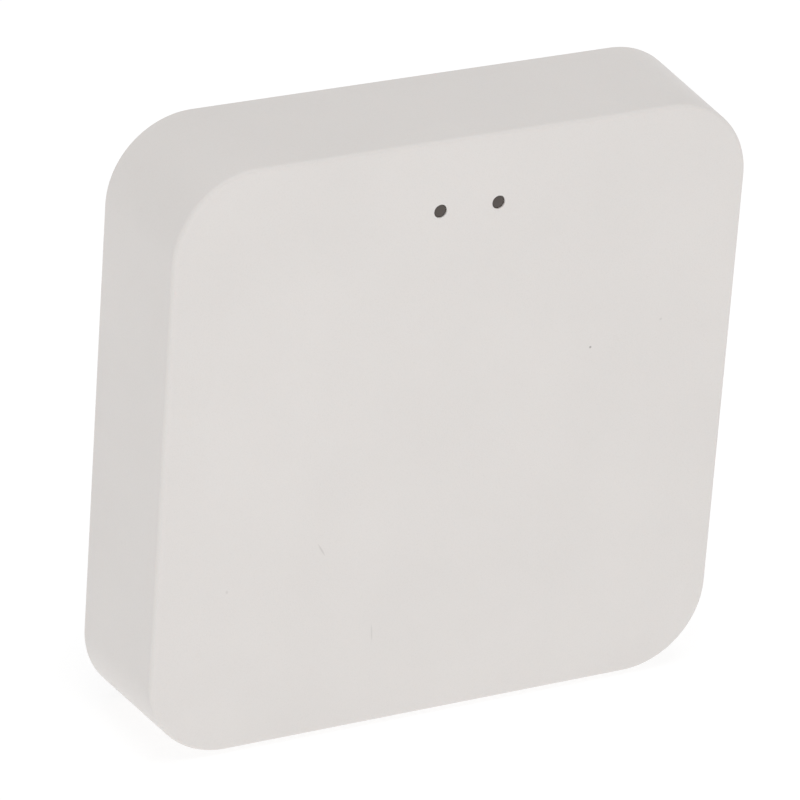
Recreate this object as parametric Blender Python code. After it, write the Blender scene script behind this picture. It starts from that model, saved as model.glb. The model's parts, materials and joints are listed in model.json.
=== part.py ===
"""Smart home hub: a square wireless gateway in a moulded housing, with its electronics inside.

Frame, in metres: X points right and Z points up as the front face is seen, and Y runs from the front
face to the back. The hub stands on its lower side, and the origin is the bottom centre of its box.

Everything is laid out from the centre of the front face, MID_Z above the floor: at(x, y, z) takes x and
z from that centre, and y from the middle of the hub's depth.
"""

import math

import bmesh
import bpy
from mathutils import Vector

MM = 0.001

# Housing
RIM_WIDTH = 60.0 * MM  # across the open back of the cover, where the drafted sides are widest
DEPTH = 15.0 * MM  # front face to the soles of the feet
FOOT_STAND = 1.8 * MM  # how far the feet stand behind the rim
DRAFT = math.radians(2.0)
CORNER = 8.25 * MM
WALL = 1.8 * MM
FRONT_FILLET = 0.5 * MM
RIM_CHAMFER = 0.1 * MM
CORNER_STEPS = 10

MID_Z = RIM_WIDTH / 2
FRONT_Y = -DEPTH / 2
SOLE_Y = DEPTH / 2
RIM_Y = SOLE_Y - FOOT_STAND
CAVITY_FRONT_Y = FRONT_Y + WALL

# Back plate, which drops into a pocket in the cover's rim
PLATE_THICKNESS = 2.0 * MM
PLATE_RECESS = 0.3 * MM
PLATE_OUT_Y = RIM_Y - PLATE_RECESS
PLATE_IN_Y = PLATE_OUT_Y - PLATE_THICKNESS
POCKET_LIP = 1.0 * MM  # wall left beside the pocket
PLATE_GAP = 0.15 * MM
LABEL_WIDTH = 34.0 * MM
LABEL_HEIGHT = 19.0 * MM
LABEL_CORNER = 1.2 * MM
LABEL_Z = -5.5 * MM
LABEL_THICKNESS = 0.15 * MM
LABEL_FLOOR_Y = PLATE_OUT_Y - 0.22 * MM
VENT_COUNT = 9
VENT_PITCH = 3.0 * MM
VENT_WIDTH = 1.2 * MM
VENT_LENGTH = 8.0 * MM
VENT_Z = 14.5 * MM

# Gaps and overlaps
SEAT = 0.05 * MM  # between a part and what it is soldered, glued or screwed down on
PAST = 1.0 * MM  # how far a cutter runs past the face it cuts
ROOT = 0.5 * MM  # how far a joined-on shape starts inside the body it stands on

# Case screws, under the feet
CORNER_AXIS = 22.3 * MM
CORNERS = [(x * CORNER_AXIS, z * CORNER_AXIS) for x in (-1, 1) for z in (-1, 1)]
BOSS_RADIUS = 2.7 * MM
BOSS_TOP_Y = 2.3 * MM
CASE_SEAT_Y = 3.5 * MM
FOOT_RADIUS = 4.2 * MM
FOOT_RECESS = 0.45 * MM
ROUND_STEPS = 24
SCREW_STEPS = 16

# Main board, screwed to two posts on the front wall
BOARD_HALF = 26.6 * MM
BOARD_THICKNESS = 1.2 * MM
BOARD_FRONT_Y = 0.55 * MM
BOARD_BACK_Y = BOARD_FRONT_Y + BOARD_THICKNESS
NOTCH_EDGE = 18.3 * MM  # the board is cut away past this in each corner, to clear the bosses
NOTCH_RADIUS = 3.0 * MM
POST_RADIUS = 2.2 * MM
POSTS = [(-22.0 * MM, -0.5 * MM), (20.0 * MM, -15.5 * MM)]

# Status lights
LIGHT_X = (-2.65 * MM, 3.35 * MM)
LIGHT_Z = 22.55 * MM
WINDOW_RADIUS = 0.65 * MM
PIPE_TIP_RADIUS = 0.59 * MM
PIPE_RADIUS = 1.1 * MM
CHIMNEY_RADIUS = 1.9 * MM
CHIMNEY_END_Y = -2.0 * MM

# Side with the power socket and the reset button
SIDE_Y = -0.75 * MM  # height of both axes above the front half of the board
SOCKET_Z = 0.0 * MM
SOCKET_MOUTH_X = 29.3 * MM
SOCKET_DEPTH = 5.4 * MM
SOCKET_WIDTH = 7.4 * MM
SOCKET_HEIGHT = 2.5 * MM
SOCKET_CHAMFER = 0.8 * MM
SOCKET_GAP = 0.25 * MM
SHEET = 0.3 * MM
TONGUE_END_X = SOCKET_MOUTH_X - 0.9 * MM
BUTTON_Z = 13.0 * MM
BUTTON_FACE_X = 29.7 * MM
BUTTON_RADIUS = 1.55 * MM
BUTTON_HOLE_RADIUS = 1.75 * MM
FLANGE_X = (27.1 * MM, 27.8 * MM)
PLUNGER_TIP_X = 26.7 * MM
SWITCH_FACE_X = 25.6 * MM

# Radio modules, as (name, height of the module's centre on the board)
MODULES = (("wifi", 10.5 * MM), ("zigbee", -10.75 * MM))
MODULE_LENGTH = 24.0 * MM
MODULE_WIDTH = 15.0 * MM
MODULE_X = -14.3 * MM
MODULE_THICKNESS = 0.8 * MM


# ---------------------------------------------------------------- helpers


def at(x, y, z):
    """A point given from the centre of the front face and the middle of the depth."""
    return Vector((x, y, MID_Z + z))


def material(name, colour, roughness, metallic=0.0):
    made = bpy.data.materials.new(name)
    made.use_nodes = True
    shader = made.node_tree.nodes["Principled BSDF"]
    shader.inputs["Base Color"].default_value = (*colour, 1.0)
    shader.inputs["Roughness"].default_value = roughness
    shader.inputs["Metallic"].default_value = metallic
    return made


def rectangle(width, height):
    return [(x * width / 2, y * height / 2) for x, y in ((1, -1), (1, 1), (-1, 1), (-1, -1))]


def rounded_rectangle(width, height, radius, steps=4):
    """Anticlockwise outline with an arc of this many steps at each corner."""
    points = []
    for quarter, (sx, sy) in enumerate(((1, 1), (-1, 1), (-1, -1), (1, -1))):
        for step in range(steps + 1):
            angle = (quarter + step / steps) * math.pi / 2
            x = sx * (width / 2 - radius) + radius * math.cos(angle)
            y = sy * (height / 2 - radius) + radius * math.sin(angle)
            points.append((x, y))
    return points


def circle(radius, steps=ROUND_STEPS):
    turns = [2 * math.pi * step / steps for step in range(steps)]
    return [(radius * math.cos(turn), radius * math.sin(turn)) for turn in turns]


def ribbon(path, width):
    """Outline of a flat strip along a path of right-angled turns."""
    sides = ([], [])
    for index, point in enumerate(path):
        here = Vector(point)
        before = Vector(path[index - 1]) if index else None
        after = Vector(path[index + 1]) if index + 1 < len(path) else None
        ways = [(b - a).normalized() for a, b in ((before, here), (here, after)) if a and b]
        normals = [Vector((-way.y, way.x)) for way in ways]
        offset = normals[0] if len(normals) == 1 or normals[0] == normals[1] else sum(normals, Vector((0, 0)))
        sides[0].append(here + offset * width / 2)
        sides[1].append(here - offset * width / 2)
    return [tuple(point) for point in sides[1] + sides[0][::-1]]


def in_space(point, along, axis):
    """An outline's point, at a distance along the axis that the outline is drawn across."""
    u, v = point
    return {"X": (along, u, v), "Y": (u, along, v), "Z": (u, v, along)}[axis]


def loft(name, finish, sections, axis="Y", centre=None, smooth=False):
    """A solid through sections [(distance, outline), ...] along an axis, with both ends closed.
    Outlines are drawn across the axis: as (y, z) on X, as (x, z) on Y and as (x, y) on Z."""
    mesh = bmesh.new()
    rings = [
        [mesh.verts.new(in_space(point, along, axis)) for point in outline] for along, outline in sections
    ]
    for first, second in zip(rings, rings[1:]):
        count = len(first)
        for index in range(count):
            after = (index + 1) % count
            mesh.faces.new((first[index], first[after], second[after], second[index]))
    mesh.faces.new(rings[0])
    mesh.faces.new(rings[-1])
    bmesh.ops.recalc_face_normals(mesh, faces=mesh.faces)
    data = bpy.data.meshes.new(name)
    mesh.to_mesh(data)
    mesh.free()
    if smooth:
        data.shade_smooth()
        data.set_sharp_from_angle(angle=math.radians(35))
    if finish:
        data.materials.append(finish)
    made = bpy.data.objects.new(name, data)
    made.location = at(0, 0, 0) if centre is None else centre
    bpy.context.scene.collection.objects.link(made)
    return made


def prism(name, finish, outline, low, high, axis="Y", centre=None, smooth=False):
    return loft(name, finish, [(low, outline), (high, outline)], axis, centre, smooth)


def turned(name, finish, profile, axis="Y", centre=None, steps=ROUND_STEPS):
    """A turned solid. The profile is [(distance along the axis, radius), ...]."""
    sections = [(along, circle(radius, steps)) for along, radius in profile]
    return loft(name, finish, sections, axis, centre, smooth=True)


def boolean(target, operation, helpers):
    """Joins the helpers to the target, or cuts them from it. The helpers themselves aren't parts."""
    group = bpy.data.collections.new(f"{target.name}_{operation.lower()}")
    bpy.context.scene.collection.children.link(group)
    for helper in helpers:
        bpy.context.scene.collection.objects.unlink(helper)
        group.objects.link(helper)
        helper.hide_render = True
        helper.display_type = "WIRE"
    modifier = target.modifiers.new(group.name, "BOOLEAN")
    modifier.operation = operation
    modifier.operand_type = "COLLECTION"
    modifier.collection = group
    modifier.solver = "EXACT"


def join(target, helpers):
    boolean(target, "UNION", helpers)


def cut(target, helpers):
    boolean(target, "DIFFERENCE", helpers)


# ---------------------------------------------------------------- finishes

FINISHES = {
    "housing": material("housing", (0.76, 0.73, 0.71), 0.45),
    "rubber": material("rubber", (0.08, 0.08, 0.085), 0.85),
    "label": material("label", (0.72, 0.72, 0.72), 0.4),
    "smoked_acrylic": material("smoked_acrylic", (0.09, 0.08, 0.075), 0.15),
    "foam": material("foam", (0.02, 0.02, 0.02), 0.95),
    "circuit_board": material("circuit_board", (0.015, 0.12, 0.05), 0.4),
    "module_board": material("module_board", (0.01, 0.03, 0.09), 0.4),
    "tinned_steel": material("tinned_steel", (0.62, 0.62, 0.6), 0.3, 1.0),
    "copper": material("copper", (0.8, 0.55, 0.25), 0.3, 1.0),
    "black_resin": material("black_resin", (0.025, 0.025, 0.027), 0.5),
    "ferrite": material("ferrite", (0.06, 0.06, 0.065), 0.6),
    "aluminium": material("aluminium", (0.7, 0.7, 0.7), 0.35, 1.0),
    "screw_steel": material("screw_steel", (0.45, 0.45, 0.44), 0.35, 1.0),
    "led_resin": material("led_resin", (0.75, 0.72, 0.6), 0.3),
}


# ---------------------------------------------------------------- housing


def side_inset(y):
    """How far the drafted side has come in from the rim at this depth."""
    return math.tan(DRAFT) * (RIM_Y - y)


def housing_outline(y, inset=0.0):
    """The cover's outer outline at this depth, moved in by a distance."""
    inward = side_inset(y) + inset
    width = RIM_WIDTH - 2 * inward
    return rounded_rectangle(width, width, CORNER - inset, CORNER_STEPS)


def cover_shell():
    """The cup of the cover, from the inside of its front wall, round the rim, to its front face."""
    soft_corner = 0.6 * MM
    corner_y = CAVITY_FRONT_Y + soft_corner
    ledge_y = PLATE_IN_Y - SEAT
    sections = [
        (CAVITY_FRONT_Y, housing_outline(CAVITY_FRONT_Y, WALL + soft_corner)),
        (corner_y, housing_outline(corner_y, WALL)),
        (ledge_y, housing_outline(ledge_y, WALL)),
        (ledge_y, housing_outline(RIM_Y, POCKET_LIP)),
        (RIM_Y, housing_outline(RIM_Y, POCKET_LIP)),
        (RIM_Y, housing_outline(RIM_Y, RIM_CHAMFER)),
        (RIM_Y - RIM_CHAMFER, housing_outline(RIM_Y - RIM_CHAMFER)),
    ]
    fillet_steps = 4
    for step in range(fillet_steps + 1):
        angle = math.pi / 2 * step / fillet_steps
        y = FRONT_Y + FRONT_FILLET * (1 - math.sin(angle))
        sections.append((y, housing_outline(y, FRONT_FILLET * (1 - math.cos(angle)))))
    return loft("front_cover", FINISHES["housing"], sections, smooth=True)


def post(name, x, z, radius, top_y):
    """A post moulded on the inside of the front wall."""
    root_y = CAVITY_FRONT_Y - ROOT
    return prism(name, None, circle(radius), root_y, top_y, centre=at(x, 0, z))


def corner_ribs():
    """Two ribs from each corner boss to the side walls. They stay in front of the board."""
    thickness = 1.0 * MM
    wall_x = RIM_WIDTH / 2 - WALL / 2
    length = wall_x - CORNER_AXIS
    middle = (wall_x + CORNER_AXIS) / 2
    root_y, top_y = CAVITY_FRONT_Y - ROOT, -1.0 * MM
    ribs = []
    for x, z in CORNERS:
        sx, sz = math.copysign(1, x), math.copysign(1, z)
        across = rectangle(length, thickness)
        upright = rectangle(thickness, length)
        ribs.append(prism("rib", None, across, root_y, top_y, centre=at(sx * middle, 0, z)))
        ribs.append(prism("rib", None, upright, root_y, top_y, centre=at(x, 0, sz * middle)))
    return ribs


def front_cover():
    cover = cover_shell()
    moulded = [post("corner_boss", x, z, BOSS_RADIUS, BOSS_TOP_Y) for x, z in CORNERS]
    moulded += [post("board_post", x, z, POST_RADIUS, BOARD_FRONT_Y - SEAT) for x, z in POSTS]
    moulded += [post("light_chimney", x, LIGHT_Z, CHIMNEY_RADIUS, CHIMNEY_END_Y) for x in LIGHT_X]
    join(cover, moulded + corner_ribs())

    side_x = (RIM_WIDTH / 2 - WALL - 2 * PAST, RIM_WIDTH / 2 + PAST)
    pilot, pilot_end = 1.05 * MM, -3.2 * MM
    post_pilot, post_pilot_end = 0.95 * MM, -3.6 * MM
    bore = PIPE_RADIUS + 0.15 * MM
    cuts = []
    for x, z in CORNERS:
        hole = circle(pilot, SCREW_STEPS)
        cuts.append(prism("pilot", None, hole, pilot_end, BOSS_TOP_Y + PAST, centre=at(x, 0, z)))
    for x, z in POSTS:
        hole = circle(post_pilot, SCREW_STEPS)
        cuts.append(prism("pilot", None, hole, post_pilot_end, BOARD_FRONT_Y + PAST, centre=at(x, 0, z)))
    for x in LIGHT_X:
        profile = [
            (FRONT_Y - PAST, WINDOW_RADIUS),
            (CAVITY_FRONT_Y, WINDOW_RADIUS),
            (CAVITY_FRONT_Y, bore),
            (CHIMNEY_END_Y + PAST, bore),
        ]
        cuts.append(turned("light_bore", None, profile, centre=at(x, 0, LIGHT_Z)))
    mouth = [size + 2 * SOCKET_GAP for size in (SOCKET_HEIGHT, SOCKET_WIDTH)]
    socket = rounded_rectangle(*mouth, SOCKET_CHAMFER)
    cuts.append(prism("socket_window", None, socket, *side_x, axis="X", centre=at(0, SIDE_Y, SOCKET_Z)))
    button = circle(BUTTON_HOLE_RADIUS)
    cuts.append(prism("button_window", None, button, *side_x, axis="X", centre=at(0, SIDE_Y, BUTTON_Z)))
    cut(cover, cuts)


def back_plate():
    width = RIM_WIDTH - 2 * (POCKET_LIP + PLATE_GAP)
    corner = CORNER - POCKET_LIP - PLATE_GAP
    edge = 0.2 * MM

    def outline(inset):
        return rounded_rectangle(width - 2 * inset, width - 2 * inset, corner - inset, CORNER_STEPS)

    sections = [(PLATE_IN_Y, outline(0)), (PLATE_OUT_Y - edge, outline(0)), (PLATE_OUT_Y, outline(edge))]
    plate = loft("back_plate", FINISHES["housing"], sections, smooth=True)

    collar_end = BOSS_TOP_Y + SEAT
    collar = circle(BOSS_RADIUS + 0.3 * MM)
    collars = [
        prism("collar", None, collar, collar_end, PLATE_IN_Y + ROOT, centre=at(x, 0, z))
        for x, z in CORNERS
    ]
    join(plate, collars)

    head, shank = 2.3 * MM, 1.25 * MM
    sole_floor = PLATE_OUT_Y - FOOT_RECESS
    cuts = []
    for x, z in CORNERS:
        profile = [
            (collar_end - PAST, shank),
            (CASE_SEAT_Y, shank),
            (CASE_SEAT_Y, head),
            (sole_floor, head),
            (sole_floor, FOOT_RADIUS + PLATE_GAP),
            (PLATE_OUT_Y + PAST, FOOT_RADIUS + PLATE_GAP),
        ]
        cuts.append(turned("foot_and_screw", None, profile, centre=at(x, 0, z)))
    label = rounded_rectangle(LABEL_WIDTH + 2 * PLATE_GAP, LABEL_HEIGHT + 2 * PLATE_GAP, LABEL_CORNER)
    centre = at(0, 0, LABEL_Z)
    cuts.append(prism("label_recess", None, label, LABEL_FLOOR_Y, PLATE_OUT_Y + PAST, centre=centre))
    slot = rounded_rectangle(VENT_WIDTH, VENT_LENGTH, VENT_WIDTH / 2 - 0.01 * MM, 3)
    for index in range(VENT_COUNT):
        x = (index - (VENT_COUNT - 1) / 2) * VENT_PITCH
        centre = at(x, 0, VENT_Z)
        cuts.append(prism("vent", None, slot, PLATE_IN_Y - PAST, PLATE_OUT_Y + PAST, centre=centre))
    cut(plate, cuts)


def rating_label():
    """A blank sticker in the recess of the back plate."""
    outline = rounded_rectangle(LABEL_WIDTH, LABEL_HEIGHT, LABEL_CORNER)
    low = LABEL_FLOOR_Y + SEAT
    prism("rating_label", FINISHES["label"], outline, low, low + LABEL_THICKNESS, centre=at(0, 0, LABEL_Z))


def foot(number, x, z):
    """A stick-on rubber foot with a softened sole. It covers a case screw."""
    soft = 0.4 * MM
    profile = [
        (PLATE_OUT_Y - FOOT_RECESS + SEAT, FOOT_RADIUS),
        (SOLE_Y - soft, FOOT_RADIUS),
        (SOLE_Y - soft * 0.3, FOOT_RADIUS - soft * 0.3),
        (SOLE_Y, FOOT_RADIUS - soft),
    ]
    turned(f"foot_{number}", FINISHES["rubber"], profile, centre=at(x, 0, z))


# ---------------------------------------------------------------- fasteners


def cross_recess(top, depth, centre):
    """Cutter for a cross-shaped driver recess, opening at +Y."""
    long_side, slot = 1.9 * MM, 0.5 * MM
    a, b = long_side / 2, slot / 2
    outline = [(a, -b), (a, b), (b, b), (b, a), (-b, a), (-b, b), (-a, b), (-a, -b)]
    outline += [(-b, -b), (-b, -a), (b, -a), (b, -b)]
    return prism("cross", None, outline, top - depth, top + depth, centre=centre)


def screw(name, x, z, seat_y, end_y, head_radius, head_height, shank_radius):
    """A pan-head self-tapping screw driven from the back, with its head seated at seat_y."""
    base = seat_y + SEAT
    top = base + head_height
    tip = 1.0 * MM
    profile = [
        (end_y, shank_radius * 0.35),
        (end_y + tip, shank_radius),
        (base, shank_radius),
        (base, head_radius),
        (base + head_height * 0.45, head_radius),
        (base + head_height * 0.8, head_radius * 0.88),
        (top, head_radius * 0.66),
    ]
    centre = at(x, 0, z)
    made = turned(name, FINISHES["screw_steel"], profile, centre=centre, steps=SCREW_STEPS)
    cut(made, [cross_recess(top, head_height * 0.5, centre)])


def fasteners():
    for number, (x, z) in enumerate(CORNERS, 1):
        screw(f"case_screw_{number}", x, z, CASE_SEAT_Y, -2.7 * MM, 2.0 * MM, 1.25 * MM, 0.97 * MM)
        foot(number, x, z)
    for number, (x, z) in enumerate(POSTS, 1):
        screw(f"board_screw_{number}", x, z, BOARD_BACK_Y, -3.2 * MM, 1.9 * MM, 1.2 * MM, 0.85 * MM)


# ---------------------------------------------------------------- main board


def board_outline():
    """A square with each corner cut away in an L, whose inner corner is round."""
    steps = 5
    corner = []
    inner = NOTCH_EDGE + NOTCH_RADIUS
    corner.append((BOARD_HALF, NOTCH_EDGE))
    for step in range(steps + 1):
        angle = -math.pi / 2 - step / steps * math.pi / 2
        corner.append((inner + NOTCH_RADIUS * math.cos(angle), inner + NOTCH_RADIUS * math.sin(angle)))
    corner.append((NOTCH_EDGE, BOARD_HALF))
    points = []
    for quarter in range(4):
        turn = quarter * math.pi / 2
        cosine, sine = round(math.cos(turn)), round(math.sin(turn))
        points += [(x * cosine - y * sine, x * sine + y * cosine) for x, y in corner]
    return points


def main_board():
    board = prism("main_board", FINISHES["circuit_board"], board_outline(), BOARD_FRONT_Y, BOARD_BACK_Y)
    hole = circle(1.15 * MM, SCREW_STEPS)
    cut(
        board,
        [
            prism("board_hole", None, hole, BOARD_FRONT_Y - PAST, BOARD_BACK_Y + PAST, centre=at(x, 0, z))
            for x, z in POSTS
        ],
    )


def on_board(name, finish, outline, height, x, z, lift=SEAT):
    """A flat-topped part on the front side of the board, which faces -Y."""
    base = BOARD_FRONT_Y - lift
    return prism(name, FINISHES[finish], outline, base - height, base, centre=at(x, 0, z))


def radio_module(name, z):
    """A module board with its chip, the shield can over the chip, and a printed aerial at its free end."""
    outline = rectangle(MODULE_LENGTH, MODULE_WIDTH)
    on_board(f"{name}_module_board", "module_board", outline, MODULE_THICKNESS, MODULE_X, z)
    front = BOARD_FRONT_Y - SEAT - MODULE_THICKNESS - SEAT

    can_length, can_width, can_height, sheet, corner = (v * MM for v in (15.5, 13.6, 1.9, 0.2, 0.6))
    can_x = MODULE_X + 3.4 * MM
    inner_length, inner_width = can_length - 2 * sheet, can_width - 2 * sheet
    outer = rounded_rectangle(can_length, can_width, corner, 3)
    inner = rounded_rectangle(inner_length, inner_width, corner - sheet, 3)
    top = front - can_height
    sections = [(top + sheet, inner), (front, inner), (front, outer), (top, outer)]
    loft(f"{name}_shield_can", FINISHES["tinned_steel"], sections, centre=at(can_x, 0, z))

    chip = rectangle(5.0 * MM, 5.0 * MM)
    chip_top = front - 0.85 * MM
    prism(f"{name}_chip", FINISHES["black_resin"], chip, chip_top, front, centre=at(can_x, 0, z))

    trace, pitch, legs = 0.5 * MM, 1.0 * MM, 5
    reach = MODULE_WIDTH / 2 - 1.0 * MM
    x, path = 0.0, [(2.0 * MM, -reach)]
    for leg in range(legs):
        side = -reach if leg % 2 == 0 else reach
        path += [(x, side), (x, -side)]
        x -= pitch
    aerial_x = MODULE_X - MODULE_LENGTH / 2 + 5.4 * MM - trace
    aerial = ribbon(path, trace)
    prism(f"{name}_aerial", FINISHES["copper"], aerial, front - 0.08 * MM, front, centre=at(aerial_x, 0, z))


def gull_wing_legs(count, pitch, body_width, body_height):
    """Helpers for the two rows of legs of a small chip, to be joined to its body."""
    leg_width, reach, sole = 0.4 * MM, 1.0 * MM, 0.2 * MM
    base = BOARD_FRONT_Y - SEAT
    legs = []
    for side in (-1, 1):
        for index in range(count):
            x = (index - (count - 1) / 2) * pitch
            flat = rectangle(leg_width, reach)
            upright = rectangle(leg_width, 0.3 * MM)
            z = side * (body_width / 2 + reach * 0.45)
            inner_z = side * (body_width / 2 + 0.05 * MM)
            legs.append((flat, base - sole, base, x, z))
            legs.append((upright, base - body_height * 0.55, base - 0.02 * MM, x, inner_z))
    return legs


def memory_chip(x, z):
    """An eight-legged memory chip."""
    width, length, height = 3.9 * MM, 4.9 * MM, 1.5 * MM
    lift = 0.2 * MM
    outline = rectangle(length, width)
    body = on_board("memory_chip", "black_resin", outline, height - lift, x, z, lift)
    legs = [
        prism("leg", None, outline, low, high, centre=at(x + dx, 0, z + dz))
        for outline, low, high, dx, dz in gull_wing_legs(4, 1.27 * MM, width, height)
    ]
    join(body, legs)


def regulator(x, z):
    """A voltage regulator with a heat tab on one side and three legs on the other."""
    base = BOARD_FRONT_Y - SEAT
    body = on_board("voltage_regulator", "black_resin", rectangle(6.5 * MM, 3.5 * MM), 1.6 * MM, x, z)
    strip = 0.25 * MM
    shapes = [(3.0, 1.9, 0.0, 2.4)] + [(0.7, 1.9, dx, -2.4) for dx in (-2.3, 0.0, 2.3)]
    helpers = []
    for width, length, dx, dz in shapes:
        outline = rectangle(width * MM, length * MM)
        centre = at(x + dx * MM, 0, z + dz * MM)
        helpers.append(prism("tab", None, outline, base - strip, base + 0.01 * MM, centre=centre))
    join(body, helpers)


def chamfered_square(side, chamfer):
    half, inner = side / 2, side / 2 - chamfer
    points = [(half, -inner), (half, inner), (inner, half), (-inner, half)]
    return points + [(-half, inner), (-half, -inner), (-inner, -half), (inner, -half)]


def power_inductor(x, z):
    """A shielded inductor: a ferrite block with a round drum set in its top."""
    base = BOARD_FRONT_Y - SEAT
    block = on_board("power_inductor", "ferrite", chamfered_square(6.0 * MM, 0.9 * MM), 2.7 * MM, x, z)
    drum_top = base - 2.9 * MM
    join(block, [prism("drum", None, circle(2.3 * MM), drum_top, base - 1.0 * MM, centre=at(x, 0, z))])


def can_capacitor(number, x, z):
    """An aluminium can on a square plastic base, with the rolled groove round its foot."""
    radius, height = 2.4 * MM, 5.0 * MM
    base = BOARD_FRONT_Y - SEAT
    name = f"can_capacitor_{number}"
    foot_height = 0.9 * MM
    on_board(f"{name}_base", "black_resin", chamfered_square(5.2 * MM, 0.8 * MM), foot_height, x, z)
    start = base - foot_height - SEAT
    profile = [
        (start - height + foot_height, radius - 0.35 * MM),
        (start - height + foot_height + 0.35 * MM, radius),
        (start - 1.2 * MM, radius),
        (start - 0.9 * MM, radius - 0.25 * MM),
        (start - 0.6 * MM, radius),
        (start, radius),
    ]
    turned(name, FINISHES["aluminium"], profile, centre=at(x, 0, z))


def small_parts():
    """Parts that are a block or a can on the board: (name, finish, length, width, height, x, z) in mm."""
    blocks = (
        ("main_processor", "black_resin", 7.0, 7.0, 0.9, 8.0, 3.0),
        ("crystal", "tinned_steel", 3.2, 2.5, 0.8, 15.2, 4.6),
        ("input_fuse", "black_resin", 3.2, 1.6, 0.8, 20.5, -6.2),
        ("surge_diode", "black_resin", 4.3, 2.6, 2.1, 19.5, 7.6),
    )
    for name, finish, length, width, height, x, z in blocks:
        outline = rounded_rectangle(length * MM, width * MM, 0.25 * MM, 2)
        on_board(name, finish, outline, height * MM, x * MM, z * MM)


# ---------------------------------------------------------------- status lights


def status_lights():
    """Two lamps on the board, one light pipe with two tips for them, and a foam mask between the two."""
    board = BOARD_FRONT_Y - SEAT
    for name, x in zip(("power_led", "network_led"), LIGHT_X):
        wide, narrow = rectangle(1.6 * MM, 0.8 * MM), rectangle(1.0 * MM, 0.8 * MM)
        sections = [
            (board, wide),
            (board - 0.3 * MM, wide),
            (board - 0.3 * MM, narrow),
            (board - 0.6 * MM, narrow),
        ]
        loft(name, FINISHES["led_resin"], sections, centre=at(x, 0, LIGHT_Z))

    mask_front = board - 1.3 * MM
    middle = sum(LIGHT_X) / 2
    spread = LIGHT_X[1] - LIGHT_X[0]
    mask = prism(
        "light_mask",
        FINISHES["foam"],
        rounded_rectangle(spread + 5.6 * MM, 4.6 * MM, 0.6 * MM, 3),
        mask_front,
        board,
        centre=at(middle, 0, LIGHT_Z),
    )
    window = rectangle(2.6 * MM, 2.4 * MM)
    windows = [
        prism("mask_window", None, window, mask_front - PAST, board + PAST, centre=at(x, 0, LIGHT_Z))
        for x in LIGHT_X
    ]
    cut(mask, windows)

    pipe_end = mask_front - SEAT
    bar_front = pipe_end - 0.55 * MM
    tip_y = FRONT_Y + 0.12 * MM
    shoulder = CAVITY_FRONT_Y + 0.1 * MM
    profile = [
        (tip_y, PIPE_TIP_RADIUS * 0.8),
        (tip_y + 0.08 * MM, PIPE_TIP_RADIUS),
        (shoulder, PIPE_TIP_RADIUS),
        (shoulder, PIPE_RADIUS),
        (pipe_end - 0.1 * MM, PIPE_RADIUS),
    ]
    pipe = prism(
        "light_pipe",
        FINISHES["smoked_acrylic"],
        rounded_rectangle(spread + 4.4 * MM, 3.4 * MM, 1.2 * MM, 3),
        bar_front,
        pipe_end,
        centre=at(middle, 0, LIGHT_Z),
    )
    join(pipe, [turned("tip", None, profile, centre=at(x, 0, LIGHT_Z)) for x in LIGHT_X])


# ---------------------------------------------------------------- power socket


def socket_outline(width, height):
    """The socket's mouth as (y, z): a rectangle whose two corners next to the board are cut off."""
    w, h, cut_off = width / 2, height / 2, SOCKET_CHAMFER
    far_side = [(-h, w), (-h, -w)]
    return far_side + [(h - cut_off, -w), (h, cut_off - w), (h, w - cut_off), (h - cut_off, w)]


def power_socket():
    centre = at(0, SIDE_Y, SOCKET_Z)
    back_x = SOCKET_MOUTH_X - SOCKET_DEPTH
    outer = socket_outline(SOCKET_WIDTH, SOCKET_HEIGHT)
    inner = socket_outline(SOCKET_WIDTH - 2 * SHEET, SOCKET_HEIGHT - 2 * SHEET)
    shell = prism("socket_shell", FINISHES["tinned_steel"], outer, back_x, SOCKET_MOUTH_X, "X", centre)
    cavity_x = back_x + 0.5 * MM
    cut(shell, [prism("socket_cavity", None, inner, cavity_x, SOCKET_MOUTH_X + PAST, "X", centre)])

    block_end = cavity_x + 1.2 * MM
    block = rectangle(SOCKET_HEIGHT - 2 * SHEET - 2 * SEAT, SOCKET_WIDTH - 2 * SHEET - 2.4 * MM)
    insulator = prism(
        "socket_insulator", FINISHES["black_resin"], block, cavity_x + SEAT, block_end, "X", centre
    )
    tongue = rectangle(0.6 * MM, 3.9 * MM)
    tongue_centre = at(0, SIDE_Y - 0.2 * MM, SOCKET_Z)
    join(insulator, [prism("tongue", None, tongue, block_end - ROOT, TONGUE_END_X, "X", tongue_centre)])


# ---------------------------------------------------------------- reset button and its switch


def reset_button():
    """The cap that a finger pushes along -X. Its flange keeps it in the housing."""
    crown = 0.25 * MM
    profile = [
        (PLUNGER_TIP_X + SEAT, 0.8 * MM),
        (FLANGE_X[0], 0.8 * MM),
        (FLANGE_X[0], 2.4 * MM),
        (FLANGE_X[1], 2.4 * MM),
        (FLANGE_X[1], BUTTON_RADIUS),
        (BUTTON_FACE_X - crown, BUTTON_RADIUS),
        (BUTTON_FACE_X - crown * 0.3, BUTTON_RADIUS - crown * 0.3),
        (BUTTON_FACE_X, BUTTON_RADIUS - crown),
    ]
    turned("reset_button", FINISHES["housing"], profile, "X", at(0, SIDE_Y, BUTTON_Z))


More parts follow.
